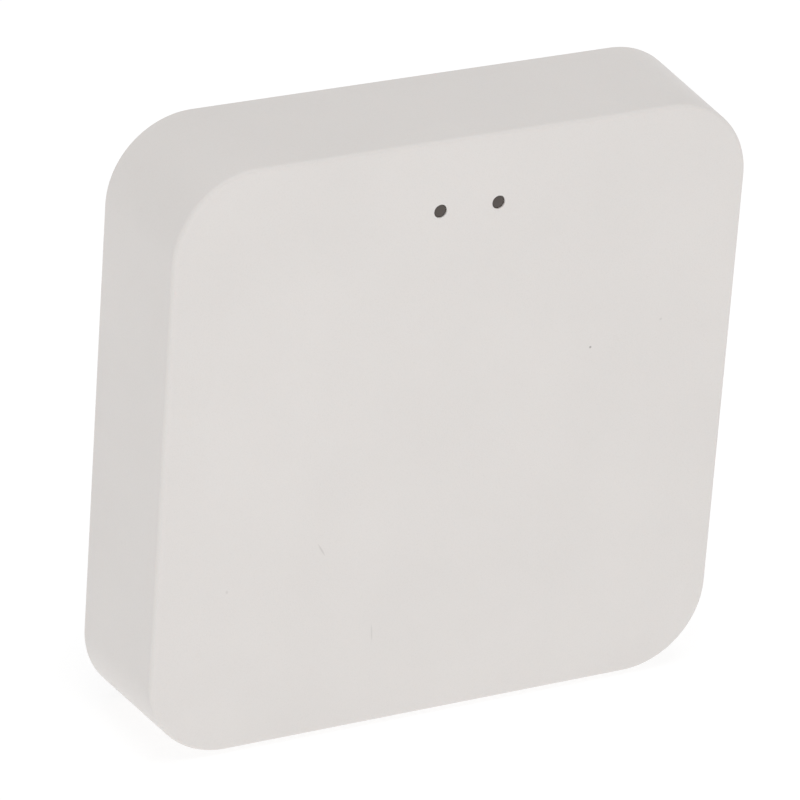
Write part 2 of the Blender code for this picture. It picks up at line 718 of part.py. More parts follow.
def switch():
    """A side-push switch: body with a bore, plunger, snap dome and the steel cover that holds them."""
    depth, width = 3.4 * MM, 5.6 * MM
    back_x = SWITCH_FACE_X - depth
    board = BOARD_FRONT_Y - SEAT
    front_y = 2 * SIDE_Y - board
    centre = at(0, SIDE_Y, BUTTON_Z)
    bore_end = back_x + 0.9 * MM

    outline = rectangle(board - front_y, width)
    body = prism("switch_body", FINISHES["black_resin"], outline, back_x, SWITCH_FACE_X, "X", centre)
    cut(body, [prism("bore", None, circle(1.05 * MM), bore_end, SWITCH_FACE_X + PAST, "X", centre)])

    dome_height = 0.35 * MM
    dome_start = bore_end + SEAT
    dome_end = dome_start + dome_height
    dome = [(dome_start, 0.95 * MM), (dome_start + 0.1 * MM, 0.95 * MM)]
    dome += [(dome_end - 0.08 * MM, 0.7 * MM), (dome_end, 0.35 * MM)]
    turned("switch_dome", FINISHES["tinned_steel"], dome, "X", centre, SCREW_STEPS)

    plunger = [(dome_end + SEAT, 0.5 * MM), (dome_end + 0.3 * MM, 0.9 * MM)]
    plunger += [(SWITCH_FACE_X + 0.2 * MM, 0.9 * MM), (SWITCH_FACE_X + 0.2 * MM, 0.75 * MM)]
    plunger += [(PLUNGER_TIP_X, 0.75 * MM)]
    turned("switch_plunger", FINISHES["black_resin"], plunger, "X", centre, SCREW_STEPS)

    sheet = 0.15 * MM
    legs_end = board - 0.4 * MM
    side = width / 2 + SEAT
    top = front_y - SEAT
    channel = [(legs_end, -side), (top, -side), (top, side), (legs_end, side)]
    channel += [(legs_end, side + sheet), (top - sheet, side + sheet)]
    channel += [(top - sheet, -side - sheet), (legs_end, -side - sheet)]
    inset = 0.3 * MM
    prism(
        "switch_cover",
        FINISHES["tinned_steel"],
        channel,
        back_x + inset,
        SWITCH_FACE_X - inset,
        "X",
        at(0, 0, BUTTON_Z),
    )


# ---------------------------------------------------------------- build


def build():
    front_cover()
    back_plate()
    rating_label()
    fasteners()
    main_board()
    for name, z in MODULES:
        radio_module(name, z)
    memory_chip(8.0 * MM, 13.2 * MM)
    regulator(11.5 * MM, -8.5 * MM)
    power_inductor(7.5 * MM, -18.0 * MM)
    for number, x in enumerate((0.9 * MM, 14.2 * MM), 1):
        can_capacitor(number, x, -23.4 * MM)
    small_parts()
    status_lights()
    power_socket()
    reset_button()
    switch()


for leftover in list(bpy.data.objects):
    bpy.data.objects.remove(leftover)
build()
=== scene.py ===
"""The look of the smart home hub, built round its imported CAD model.

Metres, +Z up. The front face looks towards -Y, the back with the feet towards +Y, and the power socket
and the reset button are on the +X side. The hub stands on the floor, on its lower side.
"""

import json
import math

import bmesh
import bpy
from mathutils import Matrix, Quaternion, Vector


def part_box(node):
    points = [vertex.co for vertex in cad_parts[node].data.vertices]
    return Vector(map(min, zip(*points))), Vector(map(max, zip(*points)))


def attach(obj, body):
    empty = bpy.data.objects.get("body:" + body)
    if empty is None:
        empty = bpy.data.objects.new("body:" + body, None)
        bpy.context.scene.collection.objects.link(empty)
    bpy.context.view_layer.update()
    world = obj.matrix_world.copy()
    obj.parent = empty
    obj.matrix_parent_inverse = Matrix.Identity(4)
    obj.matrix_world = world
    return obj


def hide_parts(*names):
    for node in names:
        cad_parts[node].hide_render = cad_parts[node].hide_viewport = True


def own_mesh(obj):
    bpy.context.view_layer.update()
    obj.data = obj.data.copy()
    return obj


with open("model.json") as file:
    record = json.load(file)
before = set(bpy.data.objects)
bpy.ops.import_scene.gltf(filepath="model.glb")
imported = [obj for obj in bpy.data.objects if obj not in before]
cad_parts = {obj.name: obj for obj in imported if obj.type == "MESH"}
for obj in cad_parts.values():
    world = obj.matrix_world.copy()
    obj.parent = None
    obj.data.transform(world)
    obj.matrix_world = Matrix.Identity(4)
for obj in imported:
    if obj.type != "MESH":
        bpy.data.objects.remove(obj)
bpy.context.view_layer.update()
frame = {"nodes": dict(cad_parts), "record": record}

MM = 0.001
NODES = frame["nodes"]

# Sizes that the CAD model's boxes give
COVER_LOW, COVER_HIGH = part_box("front_cover")
PLATE_LOW, PLATE_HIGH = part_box("back_plate")
LABEL_LOW, LABEL_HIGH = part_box("rating_label")
PIPE_LOW, PIPE_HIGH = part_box("light_pipe")
SOCKET_LOW, SOCKET_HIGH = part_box("socket_shell")
INSULATOR_LOW, INSULATOR_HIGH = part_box("socket_insulator")
BUTTON_LOW, BUTTON_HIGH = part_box("reset_button")
DOME_LOW, DOME_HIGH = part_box("switch_dome")

MID_Z = (COVER_LOW.z + COVER_HIGH.z) / 2
FRONT_Y = COVER_LOW.y
RIM_Y = COVER_HIGH.y
DRAFT = math.radians(2.0)
CRISP_ANGLE = math.radians(32)
RIM_CHAMFER = 0.08 * MM
RIM_HALF = (COVER_HIGH.x - COVER_LOW.x) / 2 + math.tan(DRAFT) * RIM_CHAMFER
CORNER = 8.25 * MM  # the radius of the square's corners
WALL = 1.8 * MM
FRONT_FILLET = 0.38 * MM
POCKET_LIP = 1.0 * MM
CAVITY_FRONT_Y = FRONT_Y + WALL
PLATE_OUT_Y = PLATE_HIGH.y
PLATE_THICKNESS = 2.0 * MM
PLATE_IN_Y = PLATE_OUT_Y - PLATE_THICKNESS
PLATE_GAP = 0.15 * MM
SEAT = 0.05 * MM  # left between a piece and what it sits on
PAST = 0.6 * MM  # how far a cutter runs past the face that it cuts
ROOT = 0.5 * MM  # how far a boss or a rib is sunk in the wall that it stands on

# Screws, the posts under the board and the ribs
CORNER_AXIS = 22.3 * MM
CORNERS = [(x * CORNER_AXIS, z * CORNER_AXIS) for x in (-1, 1) for z in (-1, 1)]
BOSS_RADIUS = 2.7 * MM
BOSS_TOP_Y = 2.3 * MM
BOSS_PILOT = (1.05 * MM, -3.2 * MM)  # radius, and the y of its end
COLLAR_RADIUS = BOSS_RADIUS + 0.3 * MM
COLLAR_END_Y = BOSS_TOP_Y + SEAT
CASE_SEAT_Y = 3.5 * MM
POST_RADIUS = 2.2 * MM
POST_TOP_Y = 0.5 * MM
POST_PILOT = (0.95 * MM, -3.6 * MM)
POSTS = [(-22.0 * MM, -0.5 * MM), (20.0 * MM, -15.5 * MM)]
RIB = 1.0 * MM
RIB_TOP_Y = -1.0 * MM

# The two indicator lights
LIGHT_X = (-2.65 * MM, 3.35 * MM)
LIGHT_Z = 22.55 * MM
WINDOW_RADIUS = 0.65 * MM
TIP_RADIUS = 0.61 * MM
PIPE_SHOULDER_RADIUS = 1.1 * MM
CHIMNEY_RADIUS = 1.9 * MM
CHIMNEY_TOP_Y = -2.0 * MM
CHIMNEY_BORE_RADIUS = 1.25 * MM

# The power socket and the reset button
SIDE_Y = -0.75 * MM  # the depth of their middles
BUTTON_Z = (BUTTON_LOW.z + BUTTON_HIGH.z) / 2 - MID_Z
SOCKET_Z = (SOCKET_LOW.z + SOCKET_HIGH.z) / 2 - MID_Z
SOCKET_CENTRE = Vector((0, (SOCKET_LOW.y + SOCKET_HIGH.y) / 2, MID_Z + SOCKET_Z))
SOCKET_FLOOR_X = SOCKET_LOW.x + 0.5 * MM
TONGUE = (0.6 * MM, 3.9 * MM)  # thickness, width
TONGUE_ROOT_X = SOCKET_FLOOR_X + 1.2 * MM
TONGUE_CENTRE = SOCKET_CENTRE + Vector((0, -0.2 * MM, 0))
MOUTH = (3.0 * MM, 7.9 * MM, 0.8 * MM)  # the opening for the power plug: depth, height, corner
BUTTON_RADIUS = 1.55 * MM
BUTTON_HOLE_RADIUS = 1.75 * MM
STEM_RADIUS = 0.8 * MM
FLANGE_RADIUS = 2.4 * MM
FLANGE_X = (27.1 * MM, 27.8 * MM)

# The back
FOOT_RADIUS = 4.2 * MM
FOOT_RECESS = 0.45 * MM
LABEL_WIDTH = LABEL_HIGH.x - LABEL_LOW.x
LABEL_HEIGHT = LABEL_HIGH.z - LABEL_LOW.z
LABEL_Z = (LABEL_LOW.z + LABEL_HIGH.z) / 2
LABEL_CORNER = 1.2 * MM
VENTS = [(index - 4) * 3.0 * MM for index in range(9)]
VENT_Z = 14.5 * MM
VENT = (1.2 * MM, 8.0 * MM, 0.59 * MM)  # width, height, corner

# The photographed view: angles in degrees, lengths in metres, the lens in mm
AZIMUTH = -29.602
ELEVATION = 25.947
ROLL = 4.150
DISTANCE = 0.57805
LENS = 278.99
AIM = Vector((-0.00103, 0.00031, 0.02963))

FLOOR_RADIUS = 0.3
FLOOR_THICKNESS = 4.0 * MM
FLOOR_GLOW = 0.72
WORLD_HORIZON = 1.03
WORLD_TOP = 0.595
WORLD_RAMP = (0.02, 0.15)  # the sines of the elevations between which the surround dims

# Colours that a material names
HOUSING_COLOUR = (0.745, 0.715, 0.693)
DUST_COLOUR = (0.2, 0.18, 0.17)
VIA_COLOUR = (0.45, 0.33, 0.15)
PAPER_COLOURS = ((0.70, 0.70, 0.69), (0.76, 0.76, 0.755))
INK_COLOUR = (0.30, 0.30, 0.31)
# Specks and short hairs of dust on the front: x, z, length and width in mm, turn in degrees, strength
DUST = [
    (14.4, 6.1, 0.24, 0.24, 0, 0.6),
    (21.8, 7.8, 0.28, 0.26, 0, 0.16),
    (-22.2, -12.8, 0.26, 0.3, 0, 0.15),
    (-12.6, -10.2, 1.4, 0.17, -59, 0.2),
    (-6.7, -20.0, 1.7, 0.15, -85, 0.15),
]


# ---------------------------------------------------------------- outlines


def at(x, y, z):
    """A point given from the middle of the hub."""
    return Vector((x, y, MID_Z + z))


def circle(radius, steps=64):
    turns = [2 * math.pi * step / steps for step in range(steps)]
    return [(radius * math.cos(turn), radius * math.sin(turn)) for turn in turns]


def rounded_rectangle(width, height, radius, steps=12):
    points = []
    for quarter, (sx, sy) in enumerate(((1, 1), (-1, 1), (-1, -1), (1, -1))):
        for step in range(steps + 1):
            angle = (quarter + step / steps) * math.pi / 2
            x = sx * (width / 2 - radius) + radius * math.cos(angle)
            y = sy * (height / 2 - radius) + radius * math.sin(angle)
            points.append((x, y))
    return points


def rectangle(width, height):
    return [(x * width / 2, y * height / 2) for x, y in ((1, -1), (1, 1), (-1, 1), (-1, -1))]


def rounded_polygon(corners, radius):
    """A convex outline with an arc at each corner, the same way round as the corners."""
    points = []
    count, steps = len(corners), 6
    for index in range(count):
        before, here, after = (Vector(corners[(index + k) % count]) for k in (-1, 0, 1))
        first, second = (before - here).normalized(), (after - here).normalized()
        half = first.angle(second) / 2
        centre = here + (first + second).normalized() * (radius / math.sin(half))
        start = here + first * (radius / math.tan(half)) - centre
        end = here + second * (radius / math.tan(half)) - centre
        turn = start.angle_signed(end)
        for step in range(steps + 1):
            angle = -turn * step / steps
            x = start.x * math.cos(angle) - start.y * math.sin(angle)
            y = start.x * math.sin(angle) + start.y * math.cos(angle)
            points.append((centre.x + x, centre.y + y))
    return points


def grown(corners, distance):
    """A convex outline, anticlockwise, with each side moved out by a distance."""
    count = len(corners)
    sides = []
    for index in range(count):
        a, b = Vector(corners[index]), Vector(corners[(index + 1) % count])
        way = (b - a).normalized()
        sides.append((a + Vector((way.y, -way.x)) * distance, way))
    points = []
    for index in range(count):
        (p, u), (q, v) = sides[index - 1], sides[index]
        along = ((q.x - p.x) * v.y - (q.y - p.y) * v.x) / (u.x * v.y - u.y * v.x)
        points.append(tuple(p + u * along))
    return points


# ---------------------------------------------------------------- solids


def in_space(point, along, axis):
    u, v = point
    return {"X": (along, u, v), "Y": (u, along, v), "Z": (u, v, along)}[axis]


def new_object(name, mesh):
    data = bpy.data.meshes.new(name)
    mesh.to_mesh(data)
    mesh.free()
    made = bpy.data.objects.new(name, data)
    bpy.context.scene.collection.objects.link(made)
    return made


def loft(name, sections, axis="Y", centre=None):
    """A closed solid through sections [(distance, outline), ...] along an axis."""
    move = at(0, 0, 0) if centre is None else centre
    mesh = bmesh.new()
    rings = [
        [mesh.verts.new(Vector(in_space(point, along, axis)) + move) for point in outline]
        for along, outline in sections
    ]
    for first, second in zip(rings, rings[1:]):
        count = len(first)
        for index in range(count):
            after = (index + 1) % count
            mesh.faces.new((first[index], first[after], second[after], second[index]))
    mesh.faces.new(rings[0])
    mesh.faces.new(rings[-1])
    bmesh.ops.recalc_face_normals(mesh, faces=mesh.faces)
    return new_object(name, mesh)


def prism(name, outline, low, high, axis="Y", centre=None):
    return loft(name, [(low, outline), (high, outline)], axis, centre)


def turned(name, profile, axis="Y", centre=None, steps=64):
    return loft(name, [(along, circle(radius, steps)) for along, radius in profile], axis, centre)


def merge(target, helpers, operation):
    """Joins the helpers to the target or cuts them from it, and removes them."""
    for helper in helpers:
        modifier = target.modifiers.new("merge", "BOOLEAN")
        modifier.operation = operation
        modifier.object = helper
        modifier.solver = "EXACT"
    bpy.context.view_layer.update()
    depsgraph = bpy.context.evaluated_depsgraph_get()
    made = bpy.data.meshes.new_from_object(target.evaluated_get(depsgraph))
    target.modifiers.clear()
    target.data = made
    for helper in helpers:
        bpy.data.objects.remove(helper)


def join(target, helpers):
    merge(target, helpers, "UNION")


def cut(target, helpers):
    merge(target, helpers, "DIFFERENCE")


def soften(target):
    """Smooth shading that keeps flat faces flat and edges sharper than CRISP_ANGLE crisp."""
    target.data.shade_smooth()
    target.data.set_sharp_from_angle(angle=CRISP_ANGLE)
    modifier = target.modifiers.new("normals", "WEIGHTED_NORMAL")
    modifier.keep_sharp = True
    modifier.weight = 100


def flared(name, outline, face, end, fillet, axis, centre):
    """A cutter for a hole whose mouth at the face is rounded. outline(grow) gives the hole's outline
    grown by a distance, and the hole runs from the face to its end."""
    way = 1 if end > face else -1
    steps, last = 5, math.radians(72)
    reach = fillet * (1 - math.cos(last)) + PAST * math.tan(last)
    sections = [(face - way * PAST, outline(reach))]
    for step in range(steps + 1):
        angle = last * (1 - step / steps)
        depth = fillet * (math.sin(last) - math.sin(angle))
        sections.append((face + way * depth, outline(fillet * (1 - math.cos(angle)))))
    sections.append((end, outline(0.0)))
    return loft(name, sections, axis, centre)


def round_hole(name, radius, face, end, fillet, centre, axis="Y", steps=64):
    return flared(name, lambda grow: circle(radius + grow, steps), face, end, fillet, axis, centre)


def square_hole(name, size, face, end, fillet, centre, axis="Y", steps=8):
    """The size of the hole is its width, its height and the radius of its corners."""
    width, height, corner = size

    def outline(grow):
        return rounded_rectangle(width + 2 * grow, height + 2 * grow, corner + grow, steps)

    return flared(name, outline, face, end, fillet, axis, centre)


def arc(steps):
    """(sine, cosine) from 0 to 90 degrees."""
    turns = [math.pi / 2 * step / steps for step in range(steps + 1)]
    return [(math.sin(turn), math.cos(turn)) for turn in turns]


# ---------------------------------------------------------------- materials


class Nodes:
    """Short names for the shader nodes that the materials are made of."""

    def __init__(self, name):
        self.material = bpy.data.materials.new(name)
        self.material.use_nodes = True
        self.tree = self.material.node_tree
        self.shader = self.tree.nodes["Principled BSDF"]
        self.place = self.add("ShaderNodeTexCoord").outputs["Object"]

    def add(self, kind, **settings):
        node = self.tree.nodes.new(kind)
        for key, value in settings.items():
            setattr(node, key, value)
        return node

    def link(self, output, target):
        self.tree.links.new(output, target)

    def put(self, target, value):
        """Sets a socket to a number or a colour, or links another node's output to it."""
        if isinstance(value, (int, float)):
            target.default_value = value
        elif isinstance(value, tuple):
            target.default_value = (*value, 1.0)
        else:
            self.link(value, target)

    def math(self, operation, first, second=0.0):
        node = self.add("ShaderNodeMath", operation=operation)
        self.put(node.inputs[0], first)
        self.put(node.inputs[1], second)
        return node.outputs[0]

    def noise(self, scale, detail=2.0, roughness=0.5, place=None):
        node = self.add("ShaderNodeTexNoise")
        self.link(place or self.place, node.inputs["Vector"])
        node.inputs["Scale"].default_value = scale
        node.inputs["Detail"].default_value = detail
        node.inputs["Roughness"].default_value = roughness
        return node.outputs["Fac"]

    def voronoi(self, scale, place=None, **settings):
        node = self.add("ShaderNodeTexVoronoi", **settings)
        self.link(place or self.place, node.inputs["Vector"])
        node.inputs["Scale"].default_value = scale
        return node.outputs["Distance"]

    def span(self, value, low, high, new_low, new_high):
        node = self.add("ShaderNodeMapRange")
        for socket, number in zip(node.inputs, (value, low, high, new_low, new_high)):
            self.put(socket, number)
        return node.outputs[0]

    def mix(self, factor, first, second, blend="MIX"):
        node = self.add("ShaderNodeMix", data_type="RGBA", blend_type=blend)
        self.put(node.inputs["Factor"], factor)
        self.put(node.inputs[6], first)
        self.put(node.inputs[7], second)
        return node.outputs[2]

    def axes(self, vector=None):
        node = self.add("ShaderNodeSeparateXYZ")
        self.link(vector or self.place, node.inputs[0])
        return node.outputs

    def flattened(self):
        """The place seen from the front: x and z as the first two coordinates."""
        x, _, z = self.axes()
        node = self.add("ShaderNodeCombineXYZ")
        self.link(x, node.inputs[0])
        self.link(z, node.inputs[1])
        return node.outputs[0]

    def bump(self, heights):
        """A chain of bumps from [(height, strength, distance), ...]."""
        normal = None
        for height, strength, distance in heights:
            node = self.add("ShaderNodeBump")
            self.link(height, node.inputs["Height"])
            node.inputs["Strength"].default_value = strength
            node.inputs["Distance"].default_value = distance
            if normal is not None:
                self.link(normal, node.inputs["Normal"])
            normal = node.outputs["Normal"]
        self.link(normal, self.shader.inputs["Normal"])

    def set(self, **values):
        for name, value in values.items():
            self.put(self.shader.inputs[name.replace("_", " ")], value)


def scaled(colour, factor):
    return tuple(channel * factor for channel in colour)


def moulded(name, colour, roughness, grain, depth, shift, **extra):
    """Moulded plastic, resin, foam or rubber: a fine eroded grain, faint mottling and uneven gloss.

    The grain is given by its scale and depth, and shift is how far the tone strays from the colour."""
    n = Nodes(name)
    mottling = n.noise(130.0, 3.0)
    grit = n.noise(grain, 2.0, 0.6)
    tone = n.mix(n.span(mottling, 0.3, 0.7, 0.0, 1.0), scaled(colour, 1 - shift), scaled(colour, 1 + shift))
    pits = n.span(grit, 0.25, 0.5, 0.94, 1.0)
    n.set(Base_Color=n.mix(1.0, tone, pits, "MULTIPLY"))
    gloss = n.math("ADD", n.noise(420.0, 4.0), n.noise(grain / 2))
    n.set(Roughness=n.span(gloss, 0.7, 1.3, roughness - 0.06, roughness + 0.06))
    n.bump([(n.noise(55.0, 1.0), 0.25, 0.02 * MM), (grit, 0.6, depth)])
    n.set(**extra)
    return n.material


def housing_plastic():
    """Warm white moulded plastic with a fine even grain and a few specks of dust on its front."""
    n = Nodes("housing_plastic")
    mottling = n.noise(90.0, 3.0)
    grit = n.noise(6500.0, 2.0, 0.6)
    fine = n.voronoi(9000.0)
    pale, deep = scaled(HOUSING_COLOUR, 1.012), scaled(HOUSING_COLOUR, 0.988)
    tone = n.mix(n.span(mottling, 0.3, 0.7, 0.0, 1.0), deep, pale)
    pits = n.span(grit, 0.2, 0.5, 0.965, 1.0)
    grained = n.mix(1.0, tone, pits, "MULTIPLY")

    flat = n.flattened()
    dust = 0.0
    for mark_x, mark_z, length, width, turn, strength in DUST:
        spot = n.add("ShaderNodeMapping", vector_type="TEXTURE")
        n.link(flat, spot.inputs["Vector"])
        spot.inputs["Location"].default_value = (mark_x * MM, MID_Z + mark_z * MM, 0)
        spot.inputs["Rotation"].default_value = (0, 0, math.radians(turn))
        spot.inputs["Scale"].default_value = (length / 2 * MM, width / 2 * MM, 1)
        reach = n.add("ShaderNodeVectorMath", operation="LENGTH")
        n.link(spot.outputs[0], reach.inputs[0])
        dust = n.math("MAXIMUM", dust, n.span(reach.outputs["Value"], 0.6, 1.3, strength, 0.0))
    normal = n.add("ShaderNodeNewGeometry").outputs["Normal"]
    front = n.math("LESS_THAN", n.axes(normal)[1], -0.95)
    n.set(Base_Color=n.mix(n.math("MULTIPLY", dust, front), grained, DUST_COLOUR))

    gloss = n.math("ADD", n.noise(300.0, 4.0), n.noise(3200.0))
    n.set(Roughness=n.span(gloss, 0.7, 1.3, 0.44, 0.56))
    n.bump([(n.noise(45.0, 1.0), 0.2, 0.02 * MM), (fine, 0.3, 0.006 * MM), (grit, 0.55, 0.012 * MM)])
    n.set(Specular_IOR_Level=0.42, Subsurface_Weight=0.06, Subsurface_Scale=0.6 * MM)
    n.shader.inputs["Subsurface Radius"].default_value = (1.0, 0.75, 0.6)
    return n.material


def metal(name, colour, roughness, brush=(1.0, 1.0, 1.0)):
    """Rolled, drawn or plated metal: stains, uneven gloss and fine marks, drawn out where brush is low."""
    depth = 0.004 * MM
    n = Nodes(name)
    stretch = n.add("ShaderNodeMapping")
    n.link(n.place, stretch.inputs["Vector"])
    stretch.inputs["Scale"].default_value = brush
    marks = n.noise(1800.0, 3.0, 0.6, stretch.outputs[0])
    stain = n.noise(260.0, 4.0, 0.6)
    n.set(Metallic=1.0)
    n.set(Base_Color=n.mix(n.span(stain, 0.35, 0.7, 0.0, 1.0), colour, scaled(colour, 0.82)))
    n.set(Roughness=n.span(n.math("ADD", marks, stain), 0.7, 1.3, roughness - 0.08, roughness + 0.12))
    n.bump([(marks, 0.5, depth), (stain, 0.3, depth)])
    return n.material


def circuit_board(name, mask, copper_tone):
    """Solder mask over copper: traces that show as slightly raised, paler lines, and a dotting of vias."""
    n = Nodes(name)
    plane = n.flattened()
    cell = n.voronoi(260.0, place=plane, voronoi_dimensions="2D", distance="CHEBYCHEV")
    trace = n.math("PINGPONG", n.math("MULTIPLY", cell, 6.0), 1.0)
    line = n.math("GREATER_THAN", trace, 0.55)
    via = n.math("LESS_THAN", n.voronoi(420.0, place=plane, voronoi_dimensions="2D"), 0.11)
    tone = n.mix(line, mask, copper_tone)
    tone = n.mix(n.math("MULTIPLY", via, 0.8), tone, VIA_COLOUR)
    stain = n.span(n.noise(160.0, 3.0), 0.3, 0.7, 0.0, 0.25)
    n.set(Base_Color=n.mix(stain, tone, scaled(mask, 0.6)))
    n.set(Roughness=n.span(n.noise(900.0, 3.0), 0.3, 0.7, 0.28, 0.42), Coat_Weight=0.3)
    n.bump([(line, 0.5, 0.02 * MM), (n.noise(5200.0), 0.25, 0.006 * MM)])
    return n.material


def label_film():
    """A blank film label: a printed hairline frame and four ruled lines, with nothing written on it."""
    n = Nodes("label_film")
    margin, half_pitch = 1.3 * MM, 2.1 * MM
    x, _, z = n.axes()
    height = n.math("SUBTRACT", z, LABEL_Z)
    inside_x = n.math("SUBTRACT", LABEL_WIDTH / 2 - margin, n.math("ABSOLUTE", x))
    inside_z = n.math("SUBTRACT", LABEL_HEIGHT / 2 - margin, n.math("ABSOLUTE", height))
    edge = n.math("ABSOLUTE", n.math("MINIMUM", inside_x, inside_z))
    border = n.math("LESS_THAN", edge, 0.09 * MM)
    rows = n.math("PINGPONG", n.math("ADD", height, half_pitch), half_pitch)
    row = n.math("LESS_THAN", rows, 0.07 * MM)
    clear_x = n.math("GREATER_THAN", inside_x, 2.0 * MM)
    clear_z = n.math("GREATER_THAN", inside_z, 1.6 * MM)
    ink = n.math("MAXIMUM", border, n.math("MULTIPLY", row, n.math("MULTIPLY", clear_x, clear_z)))
    fibre = n.noise(2600.0, 4.0, 0.65)
    paper = n.mix(n.span(fibre, 0.3, 0.7, 0.0, 1.0), *PAPER_COLOURS)
    n.set(Base_Color=n.mix(n.math("MULTIPLY", ink, 0.8), paper, INK_COLOUR))
    n.set(Roughness=n.span(n.noise(700.0, 3.0), 0.3, 0.7, 0.34, 0.48))
    n.bump([(n.noise(110.0, 2.0), 0.3, 0.02 * MM), (fibre, 0.3, 0.004 * MM)])
    return n.material


HOUSING = housing_plastic()
RUBBER = moulded("foot_rubber", (0.045, 0.045, 0.048), 0.78, 5200.0, 0.02 * MM, 0.1, Specular_IOR_Level=0.3)
LABEL = label_film()
SMOKED = moulded("smoked_acrylic", (0.048, 0.034, 0.026), 0.16, 4000.0, 0.002 * MM, 0.06, Coat_Weight=0.4)
FOAM = moulded("black_foam", (0.02, 0.02, 0.02), 0.93, 2600.0, 0.12 * MM, 0.2)
BLACK = moulded("black_resin", (0.022, 0.022, 0.024), 0.5, 6000.0, 0.012 * MM, 0.1)
FERRITE = moulded("ferrite", (0.05, 0.05, 0.054), 0.62, 4200.0, 0.03 * MM, 0.15)
LED_RESIN = moulded("led_resin", (0.78, 0.74, 0.6), 0.25, 5000.0, 0.003 * MM, 0.04)
TINNED = metal("tinned_steel", (0.72, 0.71, 0.68), 0.3, (1.0, 1.0, 0.12))
GILT = metal("gilt_copper", (0.86, 0.62, 0.28), 0.26, (1.0, 1.0, 0.3))
ALUMINIUM = metal("drawn_aluminium", (0.78, 0.78, 0.79), 0.34, (1.0, 0.1, 1.0))
ZINC = metal("zinc_plated_steel", (0.55, 0.55, 0.54), 0.36)
BOARD = circuit_board("green_board", (0.012, 0.10, 0.04), (0.03, 0.17, 0.07))
MODULE_BOARD = circuit_board("blue_board", (0.008, 0.03, 0.10), (0.02, 0.06, 0.16))

SLOT_LOOKS = {
    "housing": HOUSING,
    "rubber": RUBBER,
    "label": LABEL,
    "smoked_acrylic": SMOKED,
    "foam": FOAM,
    "circuit_board": BOARD,
    "module_board": MODULE_BOARD,
    "tinned_steel": TINNED,
    "copper": GILT,
    "black_resin": BLACK,
    "ferrite": FERRITE,
    "aluminium": ALUMINIUM,
    "screw_steel": ZINC,
    "led_resin": LED_RESIN,
}


def piece(made, slot_name, body="housing", stands_for=()):
    """Finishes a piece: shading, material, the body that it rides on and the CAD nodes it stands for."""
    soften(made)
    made.data.materials.clear()
    made.data.materials.append(SLOT_LOOKS[slot_name])
    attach(made, body)
    if stands_for:
        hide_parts(*stands_for)


# ---------------------------------------------------------------- housing


def side_inset(y):
    """How far the drafted sides stand in, at a depth, from where they would meet the rear rim."""
    return math.tan(DRAFT) * (RIM_Y - y)


def housing_outline(y, inset=0.0):
    width = 2 * (RIM_HALF - side_inset(y) - inset)
    return rounded_rectangle(width, width, CORNER - inset, 32)


def cover_moulding():
    """The cover as one section swept round: the cavity, the pocket for the plate, the rim and the front."""
    cavity_soft, lip_soft = 0.6 * MM, 0.12 * MM
    ledge_y = PLATE_IN_Y - SEAT
    sections = []
    for sine, cosine in arc(4):
        y = CAVITY_FRONT_Y + cavity_soft * (1 - cosine)
        sections.append((y, housing_outline(y, WALL + cavity_soft * (1 - sine))))
    sections.append((ledge_y, housing_outline(ledge_y, WALL)))
    sections.append((ledge_y, housing_outline(RIM_Y, POCKET_LIP)))
    for sine, cosine in arc(3):
        y = RIM_Y - lip_soft * (1 - sine)
        sections.append((y, housing_outline(RIM_Y, POCKET_LIP - lip_soft * (1 - cosine))))
    for sine, cosine in arc(5):
        y = RIM_Y - RIM_CHAMFER * (1 - cosine)
        sections.append((y, housing_outline(y, RIM_CHAMFER * (1 - sine))))
    for sine, cosine in arc(9):
        y = FRONT_Y + FRONT_FILLET * (1 - sine)
        sections.append((y, housing_outline(y, FRONT_FILLET * (1 - cosine))))
    return loft("cover_moulding", sections)


def cover_bosses():
    """What stands on the inside of the front wall: screw bosses, board posts, light chimneys and ribs."""
    root, edge = CAVITY_FRONT_Y - ROOT, 0.2 * MM
    made = []
    for x, z in CORNERS:
        profile = [(root, BOSS_RADIUS), (BOSS_TOP_Y - edge, BOSS_RADIUS), (BOSS_TOP_Y, BOSS_RADIUS - edge)]
        made.append(turned("boss", profile, centre=at(x, 0, z)))
    for x, z in POSTS:
        made.append(prism("post", circle(POST_RADIUS, 48), root, POST_TOP_Y, centre=at(x, 0, z)))
    for x in LIGHT_X:
        outline = circle(CHIMNEY_RADIUS, 48)
        made.append(prism("chimney", outline, root, CHIMNEY_TOP_Y, centre=at(x, 0, LIGHT_Z)))
    wall_x = RIM_HALF - WALL / 2
    length, middle = wall_x - CORNER_AXIS, (wall_x + CORNER_AXIS) / 2
    for x, z in CORNERS:
        side_x, side_z = math.copysign(middle, x), math.copysign(middle, z)
        made.append(prism("rib", rectangle(length, RIB), root, RIB_TOP_Y, centre=at(side_x, 0, z)))
        made.append(prism("rib", rectangle(RIB, length), root, RIB_TOP_Y, centre=at(x, 0, side_z)))
    return made


